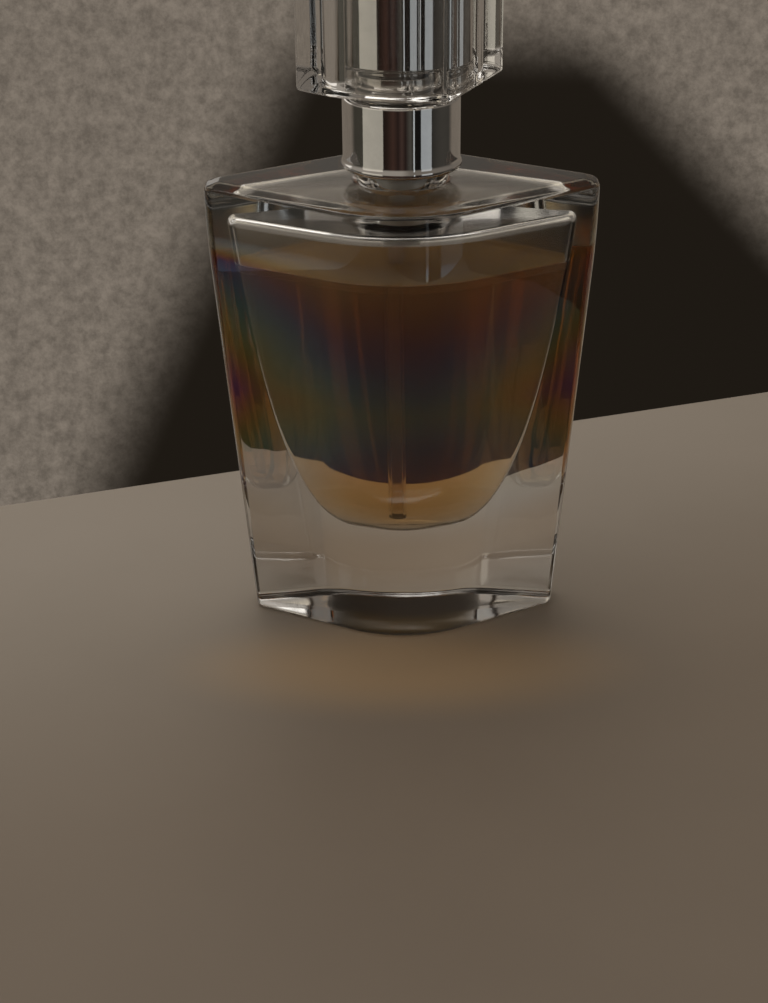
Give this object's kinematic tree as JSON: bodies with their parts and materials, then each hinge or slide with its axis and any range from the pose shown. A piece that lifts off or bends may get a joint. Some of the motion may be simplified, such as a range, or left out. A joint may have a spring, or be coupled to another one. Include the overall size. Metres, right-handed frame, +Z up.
{
  "type": "perfume bottle",
  "caption": "Tapered heavy-glass perfume flask with amber liquid, crimped spray pump, dip tube, chrome collar and a clear block cap that lifts off.",
  "frame": {"origin": "centre of the flask's flat base, on the surface it stands on", "axes": "+Z up along the pump axis, long side of the flask along X, nozzle pointing along -Y"},
  "size_m": [0.0594, 0.037, 0.113],
  "materials": {
    "clear_glass": "polished clear flint glass",
    "amber_liquid": "clear amber liquid",
    "clear_acrylic": "polished clear acrylic",
    "bright_chrome": "mirror chrome",
    "ferrule_aluminium": "satin",
    "spring_steel": "bright drawn stainless",
    "natural_plastic": "translucent natural polypropylene",
    "frosted_plastic": "translucent frosted polypropylene",
    "white_plastic": "moulded satin white",
    "seal_rubber": "matte black seal"
  },
  "bodies": {
    "bottle": {"glass_flask": "clear_glass", "perfume_liquid": "amber_liquid", "dip_tube": "natural_plastic", "pump_housing": "natural_plastic", "neck_gasket": "seal_rubber", "stem_gasket": "seal_rubber", "stem_guide": "white_plastic", "crimp_ferrule": "ferrule_aluminium", "collar_insert": "white_plastic", "chrome_collar": "bright_chrome", "pump_spring": "spring_steel"},
    "check_valve": {"check_ball": "spring_steel"},
    "plunger": {"pump_stem": "white_plastic", "pump_piston": "natural_plastic", "valve_core": "white_plastic"},
    "spray_head": {"spray_head_shell": "bright_chrome", "spray_head_core": "white_plastic", "spray_nozzle": "white_plastic"},
    "cap": {"cap_shell": "clear_acrylic", "cap_liner": "bright_chrome", "cap_insert": "frosted_plastic"}
  },
  "joints": [
    {"name": "cap_lift", "type": "slide", "parent": "bottle", "child": "cap", "axis": [0, 0, 1], "range_m": [0, 0.02]},
    {"name": "spray_press", "type": "slide", "parent": "bottle", "child": "plunger", "axis": [0, 0, -1], "range_m": [0, 0.0036], "stiffness_N_per_m": 600, "springref_m": -0.003, "deforming": ["pump_spring"]},
    {"name": "head_swivel", "type": "hinge", "parent": "plunger", "child": "spray_head", "pos_m": [0, 0, 0.09], "axis": [0, 0, 1], "continuous": true},
    {"name": "ball_lift", "type": "slide", "parent": "bottle", "child": "check_valve", "axis": [0, 0, 1], "range_m": [0, 0.0006]}
  ]
}
